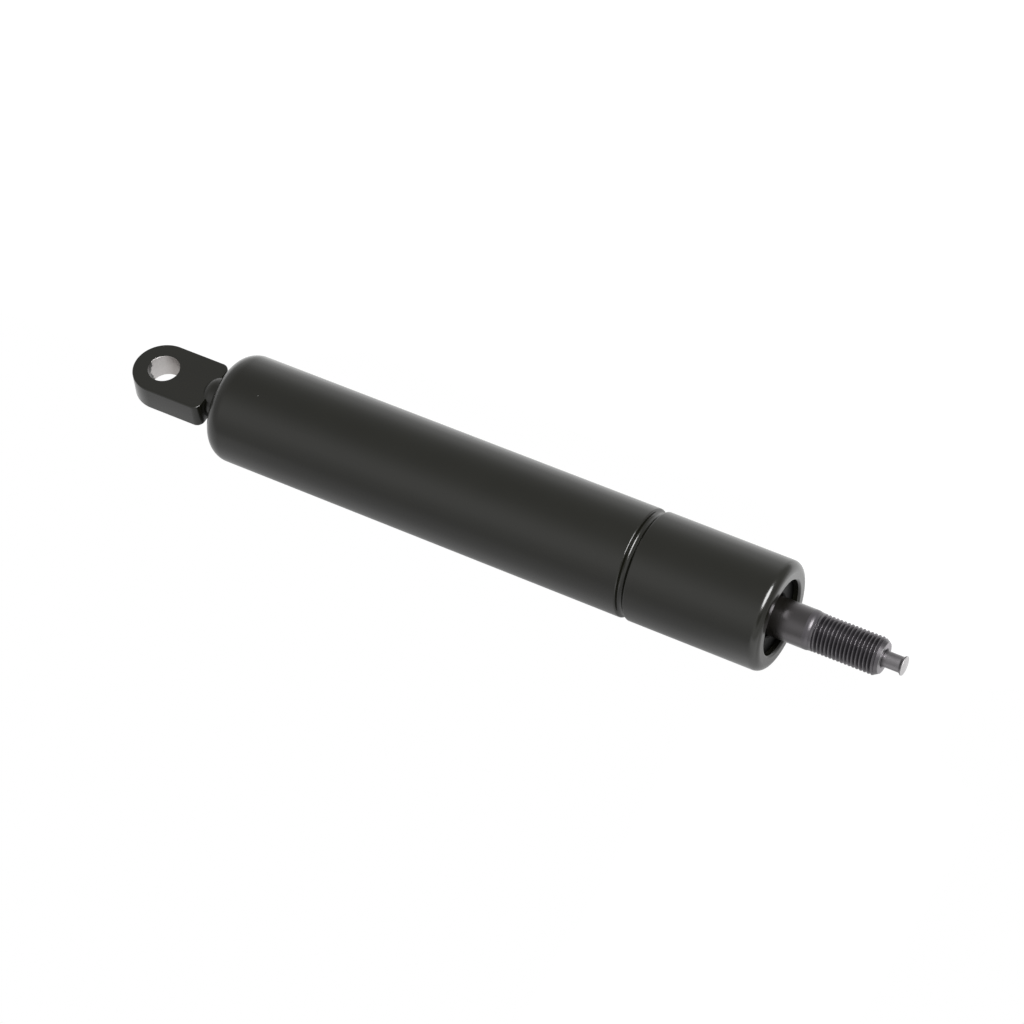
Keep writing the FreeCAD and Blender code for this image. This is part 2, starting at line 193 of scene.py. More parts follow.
def trace(corners: Sequence[Corner], closed: bool = True) -> Array:
    """Trace an outline of straight runs and rounded corners.

    Args:
        corners: The outline's corners in order.
        closed: Whether a run joins the last corner to the first.

    Returns:
        The outline's points as rows of two numbers, with no point twice in a row.
    """
    places = np.array([(corner.x, corner.r) for corner in corners])
    back = unit(np.roll(places, 1, axis=0) - places)
    ahead = unit(np.roll(places, -1, axis=0) - places)
    arcs = [corner_arc(*where, corner.rounding) for *where, corner in zip(places, back, ahead, corners)]
    stretches = []
    for index, corner in enumerate(corners):
        stretches.append(arcs[index])
        if closed or index + 1 < len(corners):
            following = arcs[(index + 1) % len(corners)]
            stretches.append(straight_run(arcs[index][-1], following[0], corner.spacing))
    path = np.concatenate(stretches)
    fresh = np.linalg.norm(path - np.roll(path, 1, axis=0), axis=1) > MERGE_DISTANCE
    return path[fresh]


def turned(path: Array, segments: int) -> Array:
    """Carry a section round the X axis.

    A point (x, r) of the section goes to (x, r cos a, r sin a) for each angle a, so a grows
    as a right-hand screw turns towards +X.

    Args:
        path: Section points as rows of place and radius.
        segments: Number of angles in the full turn.

    Returns:
        Grid of points, one row for each section point and one column for each angle.
    """
    angle = np.linspace(0, TAU, segments, endpoint=False)
    place, radius = path[:, :1], path[:, 1:]
    across = place + np.zeros_like(angle)
    return np.stack([across, radius * np.cos(angle), radius * np.sin(angle)], axis=-1)


def put(name: str, data: ID) -> Object:
    """Put a new object in the scene.

    Args:
        name: Name of the object.
        data: Its mesh, light or camera.

    Returns:
        The object.
    """
    item = bpy.data.objects.new(name, data)
    bpy.context.scene.collection.objects.link(item)
    return item


def close_up(mesh: Mesh) -> None:
    """Merge the points that meet at poles and turn every face outwards.

    Args:
        mesh: The mesh to finish.
    """
    work = bmesh.new()
    work.from_mesh(mesh)
    bmesh.ops.remove_doubles(work, verts=work.verts, dist=MERGE_DISTANCE)
    bmesh.ops.recalc_face_normals(work, faces=work.faces)
    work.to_mesh(mesh)
    work.free()
    mesh.shade_smooth()
    mesh.set_sharp_from_angle(angle=SHARP_ANGLE)


def skin(name: str, grid: Array, closed: bool = True) -> Object:
    """Cover a grid of points with faces. Its columns close into rings.

    Args:
        name: Name of the piece.
        grid: Points in rows and columns.
        closed: Whether the last row joins the first.

    Returns:
        The new object, in the scene.
    """
    rows, columns = grid.shape[:2]
    index = np.arange(rows * columns).reshape(rows, columns)
    if closed:
        index = np.vstack([index, index[:1]])
    beside = np.roll(index, -1, axis=1)
    faces = np.stack([index[:-1], beside[:-1], beside[1:], index[1:]], axis=-1).reshape(-1, 4)
    mesh = bpy.data.meshes.new(name)
    mesh.vertices.add(rows * columns)
    mesh.vertices.foreach_set("co", grid.ravel())
    mesh.loops.add(faces.size)
    mesh.loops.foreach_set("vertex_index", faces.ravel())
    mesh.polygons.add(len(faces))
    mesh.polygons.foreach_set("loop_start", np.arange(0, faces.size, 4))
    mesh.update(calc_edges=True)
    close_up(mesh)
    return put(name, mesh)


def lathe(name: str, section: Sequence[Corner], segments: int, closed: bool = True) -> Object:
    """Piece with a name, turned from a section in a number of segments."""
    return skin(name, turned(trace(section, closed), segments), closed)


def unite(piece: Object, other: Object) -> None:
    """Fuse another closed piece into a piece, and take the other out of the scene.

    Args:
        piece: The piece that keeps its name.
        other: The piece that is used up.
    """
    union = piece.modifiers.new("union", "BOOLEAN")
    union.operation = "UNION"
    union.solver = "EXACT"
    union.object = other
    evaluated = piece.evaluated_get(bpy.context.evaluated_depsgraph_get())
    fused = bpy.data.meshes.new_from_object(evaluated)
    piece.modifiers.remove(union)
    spent = piece.data
    piece.data = fused
    fused.name = piece.name
    bpy.data.meshes.remove(spent)
    bpy.data.meshes.remove(other.data)
    close_up(fused)


def mount_radius(name: str) -> float:
    """Radius of one of the record's mounts, by its name."""
    mount = next(mount for mount in frame["record"]["mounts"] if mount["name"] == name)
    return mount["dims"]["r_mm"] * MM


class Wiring:
    """Adds nodes to a tree and links them."""

    MIX_INPUTS: ClassVar[tuple[int, ...]] = (0, 6, 7)  # share and colours of a mix node
    MIX_OUTPUT: ClassVar[int] = 2  # its mixed colour

    def __init__(self, tree: NodeTree) -> None:
        """Start on a tree."""
        self.tree = tree

    @classmethod
    def of(cls, owner: Any) -> Self:
        """Empty the node tree of a material or a world.

        Args:
            owner: The material or the world.

        Returns:
            Wiring for its tree.
        """
        owner.use_nodes = True
        owner.node_tree.nodes.clear()
        return cls(owner.node_tree)

    def feed(self, node: Node, inputs: Mapping[Any, Any]) -> None:
        """Link inputs of a node to other sockets, or give them plain values.

        Args:
            node: The node to feed.
            inputs: Sockets, numbers, colours or vectors, by the input's name or number.
        """
        for name, value in inputs.items():
            if isinstance(value, NodeSocket):
                self.tree.links.new(value, node.inputs[name])
            else:
                node.inputs[name].default_value = value

    def add(self, kind: str, inputs: Optional[Mapping[Any, Any]] = None, **settings: Any) -> Node:
        """Add a node.

        Args:
            kind: Type name of the node.
            inputs: Values or sockets for its inputs, by name or number.
            **settings: Properties of the node.

        Returns:
            The new node.
        """
        node = self.tree.nodes.new(kind)
        for name, value in settings.items():
            setattr(node, name, value)
        self.feed(node, inputs or {})
        return node

    def math(self, operation: str, *values: Any) -> NodeSocket:
        """Result of a math node, for operands that are numbers or sockets."""
        return self.add("ShaderNodeMath", dict(enumerate(values)), operation=operation).outputs[0]

    def times(self, first: Any, second: Any) -> NodeSocket:
        """Product of two numbers or sockets."""
        return self.math("MULTIPLY", first, second)

    def remap(self, value: NodeSocket, source: Ends, target: Ends = (0.0, 1.0)) -> NodeSocket:
        """Carry a value smoothly from one range to another, and hold it at the ends.

        Args:
            value: The value's socket.
            source: Low and high end of the value.
            target: Low and high end of the result.

        Returns:
            The result's socket.
        """
        names = ("Value", "From Min", "From Max", "To Min", "To Max")
        inputs = dict(zip(names, (value, *source, *target)))
        return self.add("ShaderNodeMapRange", inputs, interpolation_type="SMOOTHSTEP").outputs["Result"]

    def blend(self, share: NodeSocket, first: Any, second: Any) -> NodeSocket:
        """Mix two colours.

        Args:
            share: Share of the second colour.
            first: Colour or socket.
            second: Colour or socket.

        Returns:
            The mixed colour's socket.
        """
        ends = (value if isinstance(value, NodeSocket) else (*value, 1) for value in (first, second))
        inputs = dict(zip(self.MIX_INPUTS, (share, *ends)))
        return self.add("ShaderNodeMix", inputs, data_type="RGBA").outputs[self.MIX_OUTPUT]

    def split(self, vector: NodeSocket) -> Sequence[NodeSocket]:
        """Sockets of a vector's three parts."""
        return self.add("ShaderNodeSeparateXYZ", {"Vector": vector}).outputs

    def radius(self, first: NodeSocket, second: NodeSocket) -> NodeSocket:
        """Length of a flat vector, from its two parts."""
        squares = self.math("ADD", self.times(first, first), self.times(second, second))
        return self.math("SQRT", squares)

    def noise(self, vector: NodeSocket, scale: Any, detail: float, dimensions: str = "3D") -> NodeSocket:
        """Noise from 0 to 1, by its features in a metre and its number of finer layers."""
        inputs = {"Vector": vector, "Scale": scale, "Detail": detail}
        return self.add("ShaderNodeTexNoise", inputs, noise_dimensions=dimensions).outputs[0]

    def around(self, tone: NodeSocket, mean: float, spread: float) -> NodeSocket:
        """Value that a noise carries up to a spread to either side of a mean."""
        return self.remap(tone, TONE_RANGE, (mean - spread, mean + spread))

    def mottle(self, tone: NodeSocket, colour: Colour, share: float) -> NodeSocket:
        """Colour that a noise makes darker and lighter by up to a share."""
        dark, light = ([min(1.0, gain * part) for part in colour] for gain in (1 - share, 1 + share))
        return self.blend(tone, dark, light)


class EffectGroups:
    """Builds the node groups of the shared effects, each once."""

    HEIGHT_DETAIL: ClassVar[float] = 2.0
    SPECK_CORE: ClassVar[float] = 0.5  # share of a speck's radius where it is full

    @classmethod
    def get(cls, kind: Effect) -> NodeTree:
        """Node group of an effect.

        Args:
            kind: The effect.

        Returns:
            The group, built at the first call.
        """
        label, inputs, outputs = kind.value
        found = bpy.data.node_groups.get(label)
        if found is not None:
            return found
        tree = bpy.data.node_groups.new(label, "ShaderNodeTree")
        tree.interface.new_socket("Vector", in_out="INPUT", socket_type="NodeSocketVector")
        for side, names in (("INPUT", inputs), ("OUTPUT", outputs)):
            for name in names:
                tree.interface.new_socket(name, in_out=side, socket_type="NodeSocketFloat")
        wiring = Wiring(tree)
        given = wiring.add("NodeGroupInput").outputs
        makers = {Effect.GRAIN: cls.grain, Effect.SPECKS: cls.specks, Effect.TURNING: cls.turning}
        wiring.add("NodeGroupOutput", makers[kind](wiring, given))
        return tree

    @classmethod
    def layers(
        cls, wiring: Wiring, vector: NodeSocket, size: NodeSocket,
        coarse: float, detail: float, dimensions: str,
    ) -> dict[str, NodeSocket]:
        """Fine noise as a height, and coarser noise as a tone.

        Args:
            wiring: The group's tree.
            vector: Socket of the coordinates.
            size: Socket of the fine noise's size.
            coarse: Scale of the tone, as a share of the height's.
            detail: Number of finer layers in the tone.
            dimensions: Dimensions of both noises.

        Returns:
            Sockets of the outputs, by name.
        """
        fine = wiring.math("DIVIDE", 1.0, size)
        height = wiring.noise(vector, fine, cls.HEIGHT_DETAIL, dimensions)
        tone = wiring.noise(vector, wiring.times(fine, coarse), detail, dimensions)
        return {"Height": height, "Tone": tone}

    @classmethod
    def grain(cls, wiring: Wiring, given: Any) -> dict[str, NodeSocket]:
        """Fine height of one grain size, and a cloudy tone ten times as coarse."""
        return cls.layers(wiring, given["Vector"], given["Size"], coarse=0.1, detail=4.0, dimensions="3D")

    @classmethod
    def specks(cls, wiring: Wiring, given: Any) -> dict[str, NodeSocket]:
        """Round specks: the points of a loose lattice that lie within a radius of the surface.

        Args:
            wiring: The group's tree.
            given: Sockets of the group's inputs.

        Returns:
            Socket of the mask, by name.
        """
        scale = wiring.math("DIVIDE", 1.0, given["Spacing"])
        cells = wiring.add("ShaderNodeTexVoronoi", {"Vector": given["Vector"], "Scale": scale})
        distance = wiring.times(cells.outputs["Distance"], given["Spacing"])
        core = wiring.times(given["Radius"], cls.SPECK_CORE)
        return {"Mask": wiring.remap(distance, (core, given["Radius"]), (1.0, 0.0))}

    @classmethod
    def turning(cls, wiring: Wiring, given: Any) -> dict[str, NodeSocket]:
        """Marks of a turning tool: noise over place and radius, so rings on faces and shafts alike.

        Args:
            wiring: The group's tree.
            given: Sockets of the group's inputs.

        Returns:
            Sockets of the outputs, by name.
        """
        along, across, up = wiring.split(given["Vector"])
        flat = wiring.add("ShaderNodeCombineXYZ", {"X": along, "Y": wiring.radius(across, up)}).outputs[0]
        return cls.layers(wiring, flat, given["Feed"], coarse=0.15, detail=3.0, dimensions="2D")


class Surface(Wiring):
    """Tree of a surface's material, with its shader and its object coordinates."""

    def __init__(self, tree: NodeTree) -> None:
        """Add the shader, the output and the coordinates to an empty tree.

        Args:
            tree: The material's tree.
        """
        super().__init__(tree)
        self.shader = self.add("ShaderNodeBsdfPrincipled")
        self.add("ShaderNodeOutputMaterial", {"Surface": self.shader.outputs["BSDF"]})
        self.place = self.add("ShaderNodeTexCoord").outputs["Object"]

    def shade(self, **inputs: Any) -> None:
        """Feed the shader's inputs, by their names with underscores."""
        self.feed(self.shader, {name.replace("_", " "): value for name, value in inputs.items()})

    def relief(self, height: NodeSocket, depth: float) -> None:
        """Bend the normals as a height from 0 to 1 would, times its depth."""
        bump = self.add("ShaderNodeBump", {"Height": height, "Distance": depth})
        self.shade(Normal=bump.outputs["Normal"])

    def effect(self, kind: Effect, **inputs: Any) -> Mapping[str, NodeSocket]:
        """Output sockets of a shared effect, by name, for the values of its inputs."""
        inputs["Vector"] = self.place
        return self.add("ShaderNodeGroup", inputs, node_tree=EffectGroups.get(kind)).outputs


@dataclass(frozen=True)
class Finish(ABC):
    """Procedural material of a surface."""

    label: str  # name of the material
    colour: Colour
    roughness: float  # mean roughness
    cloud: float = 0.1  # share by which the colour varies
    haze: float = 0.05  # amount by which the roughness varies

    def material(self) -> Material:
        """Blender material of the finish.

        Returns:
            The material, built at the first call.
        """
        found = bpy.data.materials.get(self.label)
        if found is None:
            found = bpy.data.materials.new(self.label)
            self.wire(Surface.of(found))
        return found

    @abstractmethod
    def wire(self, surface: Surface) -> None:
        """Feed the shader of the material's tree."""

    def apply(self, piece: Object) -> None:
        """Give the finish to every material slot of a piece.

        Args:
            piece: A new piece or a node of the frame.
        """
        if not piece.material_slots:
            piece.data.materials.append(self.material())
        for slot in piece.material_slots:
            slot.material = self.material()


@dataclass(frozen=True)
class SatinPaint(Finish):
    """Black paint with a faint orange peel, uneven gloss and a little dust."""

    colour: Colour = (0.0034, 0.0034, 0.0019)
    roughness: float = 0.2
    haze: float = 0.015
    peel_size: float = 1.1 * MM  # width of the orange peel's waves
    peel_depth: float = 0.004 * MM  # depth of the waves
    speck_spacing: float = 9 * MM  # mean distance of the lattice that dust is drawn from
    speck_radius: float = 0.15 * MM
    dust: Colour = (0.14, 0.14, 0.135)
    dust_roughness: float = 0.7

    def wire(self, surface: Surface) -> None:
        """Feed the shader with the paint alone."""
        colour, rough = self.coat(surface)
        surface.shade(Base_Color=colour, Roughness=rough)

    def coat(self, surface: Surface) -> tuple[NodeSocket, NodeSocket]:
        """Wire the paint's relief, and make its colour and roughness.

        Args:
            surface: The material's tree.

        Returns:
            Sockets of the colour and of the roughness.
        """
        grain = surface.effect(Effect.GRAIN, Size=self.peel_size)
        specks = surface.effect(Effect.SPECKS, Spacing=self.speck_spacing, Radius=self.speck_radius)["Mask"]
        surface.relief(grain["Height"], self.peel_depth)
        paint = surface.mottle(grain["Tone"], self.colour, self.cloud)
        rough = surface.around(grain["Tone"], self.roughness, self.haze)
        dusty = surface.times(specks, self.dust_roughness)
        return surface.blend(specks, paint, self.dust), surface.math("MAXIMUM", rough, dusty)


@dataclass(frozen=True)
class EyePaint(SatinPaint):
    """The paint of the eye, which leaves bare steel in the bore but for a patch on the nose's side."""

    bore_radius: float = 0.0
    half_thickness: float = 0.0  # half of the tongue's thickness
    clean: float = 0.03 * MM  # depth that paint reaches into the bore beside the patch
    patch_side: Span = (-0.833, -0.553)  # direction from the bore's axis to the patch's middle
    patch_turn: float = math.radians(44)  # half of the angle that the patch takes at the face
    patch_depth: float = 5.5 * MM  # depth of the patch at its middle
    ragged: float = 1.2 * MM  # width of the steps in the patch's edge
    ragged_share: float = 0.06  # height of the steps, as a share of the bore's radius
    steel: Colour = (0.66, 0.64, 0.63)  # bare steel on the nose's side
    neck_side_tone: Colour = (0.29, 0.27, 0.258)  # darker, warmer steel on the neck's side of the bore
    neck_side_tone_share: float = 0.2  # share of the bore's radius, past its middle, where the darker steel is full
    mark_size: float = 0.35 * MM  # size of the marks in the steel
    mark_share: float = 0.75  # share of the steel's colour that a mark keeps
    steel_roughness: float = 0.38
    steel_haze: float = 0.04

    WALL_ROOM: ClassVar[float] = 0.12 * MM  # how far beyond the bore's wall steel may be bare
    WALL_FADE: ClassVar[float] = 0.03 * MM
    CLEAN_FADE: ClassVar[float] = 0.05 * MM
    PATCH_FADE: ClassVar[float] = 0.03  # as a share of the bore's radius
    RAGGED_DETAIL: ClassVar[float] = 3.0

    def wire(self, surface: Surface) -> None:
        """Feed the shader with paint outside the bore and steel inside it.

        Args:
            surface: The material's tree.
        """
        colour, rough = self.coat(surface)
        bare = self.bare(surface)
        marks = surface.effect(Effect.GRAIN, Size=self.mark_size)
        dull = tuple(self.mark_share * part for part in self.steel)
        steel = surface.blend(marks["Height"], dull, self.steel)
        reach = (-self.bore_radius, self.neck_side_tone_share * self.bore_radius)
        # the steel blends into a darker, warmer tone towards the neck's side of the bore
        steel = surface.blend(surface.remap(surface.split(surface.place)[0], reach), steel, self.neck_side_tone)
        gap = surface.around(marks["Tone"], self.steel_roughness, self.steel_haze)
        gap = surface.math("SUBTRACT", gap, rough)
        surface.shade(
            Base_Color=surface.blend(bare, colour, steel),
            Metallic=bare,
            Roughness=surface.math("MULTIPLY_ADD", gap, bare, rough),
        )

    def bare(self, surface: Surface) -> NodeSocket:
        """Mask of the bare steel: on the bore's wall, outside the patch of paint.

        With c the share of the radius along the patch's side, the patch is where c is over a limit
        that grows evenly from cos(patch_turn) at the face to 1 at the patch's depth.

        Args:
            surface: The material's tree.

        Returns:
            Socket of the mask.
        """
        along, across, up = surface.split(surface.place)
        wall = self.bore_radius + self.WALL_ROOM
        inside = surface.remap(surface.radius(along, across), (wall, wall + self.WALL_FADE), (1.0, 0.0))
        depth = surface.math("SUBTRACT", self.half_thickness, surface.math("ABSOLUTE", up))
        past = surface.remap(depth, (self.clean, self.clean + self.CLEAN_FADE))
        side = [part / self.bore_radius for part in self.patch_side]
        share = surface.math("MULTIPLY_ADD", across, side[1], surface.times(along, side[0]))
        low = math.cos(self.patch_turn)
        steps = surface.noise(surface.place, 1 / self.ragged, self.RAGGED_DETAIL)
        steps = surface.around(steps, low, self.ragged_share)
        limit = surface.math("MULTIPLY_ADD", depth, (1 - low) / self.patch_depth, steps)
        clear = surface.remap(surface.math("SUBTRACT", limit, share), (0.0, self.PATCH_FADE))
        return surface.times(inside, surface.times(past, clear))


@dataclass(frozen=True)
class TurnedMetal(Finish):
    """Metal with the rings of a turning tool and a cloudy sheen."""

    cloud: float = 0.15
    feed: float = 0.12 * MM  # distance of the tool marks
    mark_depth: float = 0.0015 * MM  # depth of the tool marks

    GRAIN_FEEDS: ClassVar[float] = 4  # size of the grain, in feeds
    RING_SHARE: ClassVar[float] = 0.5  # how much the rings vary the colour, beside the grain
    MEAN_TONE: ClassVar[float] = 0.5

    def wire(self, surface: Surface) -> None:
        """Feed the shader with the marked metal."""
        colour, rough = self.metal(surface)
        surface.shade(Base_Color=colour, Roughness=rough, Metallic=1.0)

    def metal(self, surface: Surface) -> tuple[NodeSocket, NodeSocket]:
        """Wire the tool marks, and make the colour and roughness.

        Args:
            surface: The material's tree.

        Returns:
            Sockets of the colour and of the roughness.
        """
        marks = surface.effect(Effect.TURNING, Feed=self.feed)
        grain = surface.effect(Effect.GRAIN, Size=self.GRAIN_FEEDS * self.feed)
        surface.relief(marks["Height"], self.mark_depth)
        rings = surface.math("SUBTRACT", marks["Tone"], self.MEAN_TONE)
        tone = surface.math("MULTIPLY_ADD", rings, self.RING_SHARE, grain["Tone"])
        rough = surface.around(grain["Tone"], self.roughness, self.haze)
        return surface.mottle(tone, self.colour, self.cloud), rough


@dataclass(frozen=True)
class FacedMetal(TurnedMetal):
    """Turned metal whose end face is bare and lighter than its sides."""

    face_x: float = 0.0  # place beyond which the metal is bare
    face: Colour = (0.7, 0.69, 0.69)  # colour of the bare face

    FACE_FADE: ClassVar[float] = 0.02 * MM

    def wire(self, surface: Surface) -> None:
        """Feed the shader with the sides and the bare face.

        Args:
            surface: The material's tree.
        """
        colour, rough = self.metal(surface)
        bare = self.bare(surface, surface.split(surface.place)[0])
        surface.shade(Base_Color=surface.blend(bare, colour, self.face), Roughness=rough, Metallic=1.0)

    def bare(self, surface: Surface, along: NodeSocket) -> NodeSocket:
        """Mask of the bare face, from the place along the axis."""
        return surface.remap(along, (self.face_x - self.FACE_FADE, self.face_x))


@dataclass(frozen=True)
class NitridedSteel(FacedMetal):
    """Faced metal with a glassy oxide skin, satin at the thread, painted shade in its roots, worn crests.
    """

    skin_index: float = 1.79  # refractive index of the skin
    tint: Colour = (1.0, 0.95, 1.0)  # tint of the skin's gloss
    straw: Colour = (0.0050, 0.0046, 0.0038)  # colour of the sides before they turn satin
    satin_x: float = 0.0  # place from which the sides are satin
    satin: float = 0.18  # roughness that they have there over the rest
    thread: Span = (0.0, 0.0)  # places where the thread starts and ends
    crest_radius: float = 0.0  # radius of the thread's crests
    thread_depth: float = 0.0
    root_painted_shade: float = 0.56  # painted shade: share of the skin's gloss taken off the flanks and roots
    crest_bare: float = 0.08  # share of bare metal on the worn crests
    crest_polish: float = 0.22  # roughness that the crests have lost

    SATIN_FADE: ClassVar[float] = 0.5 * MM
    THREAD_FADE: ClassVar[float] = 0.1 * MM
    ROOT_SHADE_RANGE: ClassVar[Span] = (0.12, 0.55)  # share of the thread's depth over which the painted shade sets in
    CREST_RANGE: ClassVar[Span] = (0.02, 0.16)  # share of the depth where the wear ends

    def wire(self, surface: Surface) -> None:
        """Feed the shader with the skin, the thread and the bare face.

        Args:
            surface: The material's tree.
        """
        colour, rough = self.metal(surface)
        along, across, up = surface.split(surface.place)
        start, end = self.thread
        begun = surface.remap(along, (start - self.THREAD_FADE, start))
        lasting = surface.remap(along, (end, end + self.THREAD_FADE), (1.0, 0.0))
        cut = surface.times(begun, lasting)
        depth = surface.math("SUBTRACT", self.crest_radius, surface.radius(across, up))
        depth = surface.math("DIVIDE", depth, self.thread_depth)
        # painted shade in the flanks and roots: metal over the near-black colour darkens them as the cut
        # deepens
        root = surface.times(cut, surface.remap(depth, self.ROOT_SHADE_RANGE, (0.0, self.root_painted_shade)))
        crest = surface.times(cut, surface.remap(depth, self.CREST_RANGE, (1.0, 0.0)))
        bare = surface.math("MULTIPLY_ADD", crest, self.crest_bare, self.bare(surface, along))
        satin = surface.remap(along, (self.satin_x - self.SATIN_FADE, self.satin_x))
        colour = surface.blend(satin, self.straw, colour)
        rough = surface.math("MULTIPLY_ADD", satin, self.satin, rough)
        surface.shade(
            Base_Color=surface.blend(bare, colour, self.face),
            Roughness=surface.math("MULTIPLY_ADD", crest, -self.crest_polish, rough),
            # Metallic: bare metal on the crests plus the painted shade in the thread's roots
            Metallic=surface.math("ADD", root, bare),
            IOR=self.skin_index,
            Specular_Tint=(*self.tint, 1.0),
        )


@dataclass(frozen=True)
class Moulded(Finish):
    """Rubber or plastic from a mould: matt, with a fine grain."""

    cloud: float = 0.2
    haze: float = 0.08
    grain: float = 0.25 * MM  # size of the grain
    grain_depth: float = 0.006 * MM

    def wire(self, surface: Surface) -> None:
        """Feed the shader with the grained material.

        Args:
            surface: The material's tree.
        """
        grain = surface.effect(Effect.GRAIN, Size=self.grain)
        surface.relief(grain["Height"], self.grain_depth)
        surface.shade(
            Base_Color=surface.mottle(grain["Tone"], self.colour, self.cloud),
            Roughness=surface.around(grain["Tone"], self.roughness, self.haze),
        )


FINISHES: dict[Slot, Finish] = {
    Slot.BLACK_PAINT: SatinPaint("tube_black_paint"),
    Slot.BRIGHT_STEEL: TurnedMetal("bright_turned_steel", (0.60, 0.59, 0.58), 0.34),
    # nearly black phosphated steel, made darker still as painted shade inside the tube's mouth
    Slot.DARK_STEEL: TurnedMetal("phosphated_steel_mouth_shade", (0.009, 0.009, 0.0088), 0.6),
    Slot.BLACK_RUBBER: Moulded("black_seal_rubber", (0.018, 0.018, 0.018), 0.55),
    Slot.SEAL_POLYMER: Moulded("bearing_polymer", (0.12, 0.1, 0.06), 0.48),
    Slot.GUIDE_ALLOY: TurnedMetal("turned_guide_alloy", (0.62, 0.62, 0.63), 0.36),
    Slot.BUSH_BRONZE: TurnedMetal("sintered_bronze", (0.5, 0.3, 0.13), 0.5, cloud=0.3),
}


class SubAssembly(ABC):
    """Pieces that belong together, built and dressed by one class."""

    @abstractmethod
    def build(self) -> list[Object]:
        """Make and dress the pieces, and give those that show."""

    @staticmethod
    def settle(piece: Object, finish: Finish, body: Body, slot: Slot, node: str) -> Object:
        """Dress a new piece and set it in the frame in place of a node.

        Args:
            piece: The new piece.
            finish: Its material.
            body: The body that it moves with.
            slot: The record's material slot; not used.
            node: The node that it stands for.

        Returns:
            The piece.
        """
        finish.apply(piece)
        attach(piece, body.value)
        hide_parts(node)
        return piece


@dataclass(frozen=True)
class PaintedTube(SubAssembly):
    """Pressure tube with a spun-in base, a rolled bead and a rolled-in rim."""

    base_x: float  # place of the base's flat
    rim_x: float  # place of the rim's front
    radius: float  # outside radius
    lip_x: float  # place of the lip's inner face, on the closing washer
    stop_x: float  # place where the seal package rests on the bead
    wall: float = 1.5 * MM  # wall thickness
    base_round: float = 5.6 * MM  # outer rounding of the base
    base_wall: float = 2.0 * MM  # thickness of the base
    base_hole: float = 5.33 * MM  # radius of the hole round the eye's neck
    rim_round: float = 2.3 * MM  # outer rounding of the rim
    mouth_radius: float = 9.5 * MM
    mouth_round: float = 0.7 * MM  # rounding of the mouth's front edge
    bead_width: float = 2.25 * MM  # width of the bead at the surface
    bead_floor: float = 1.15 * MM  # width of the bead's floor
    bead_depth: float = 1.1 * MM
    bead_lean: float = 0.2 * MM  # shift of the floor's middle towards the eye
    bead_round: float = 0.45 * MM  # rounding of the bead's edges
    bead_floor_round: float = 0.75 * MM  # rounding of the floor's corners
    edge: float = 0.3 * MM  # rounding of the hidden edges

    @classmethod
    def from_frame(cls) -> Self:
        """Take the tube's places from the frame.

        Returns:
            The tube.
        """
        low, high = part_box("pressure_tube")
        lip_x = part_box("closing_washer")[1].x
        stop_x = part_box("seal_support_washer")[0].x
        return cls(low.x, high.x, high.z, lip_x, stop_x)

    def bead(self, surface: float) -> list[Corner]:
        """Corners of the bead at a surface of the wall, along +X.

        Args:
            surface: Radius of the wall's surface.

        Returns:
            The four corners.
        """
        middle = self.stop_x - self.bead_round - self.bead_width / 2
        floor_x = middle - self.bead_lean
        floor = surface - self.bead_depth
        return [
            Corner(middle - self.bead_width / 2, surface, self.bead_round),
            Corner(floor_x - self.bead_floor / 2, floor, self.bead_floor_round),
            Corner(floor_x + self.bead_floor / 2, floor, self.bead_floor_round),
            Corner(middle + self.bead_width / 2, surface, self.bead_round),
        ]

    def build(self) -> list[Object]:
        """Turn the tube's closed section, wall and all.

        Returns:
            The tube's piece.
        """
        bore = self.radius - self.wall
        floor_x = self.base_x + self.base_wall
        section = [
            Corner(self.base_x, self.base_hole, self.edge),
            Corner(self.base_x, self.radius, self.base_round),
            *self.bead(self.radius),
            Corner(self.rim_x, self.radius, self.rim_round),
            Corner(self.rim_x, self.mouth_radius, self.mouth_round),
            Corner(self.lip_x, self.mouth_radius, self.edge),
            Corner(self.lip_x, bore, self.edge),
            *reversed(self.bead(bore)),
            Corner(floor_x, bore, self.base_round - self.wall),
            Corner(floor_x, self.base_hole, self.edge),
        ]
        piece = lathe("painted_tube", section, TUBE_SEGMENTS)
        finish = FINISHES[Slot.BLACK_PAINT]
        return [self.settle(piece, finish, Body.CYLINDER, Slot.BLACK_PAINT, "pressure_tube")]


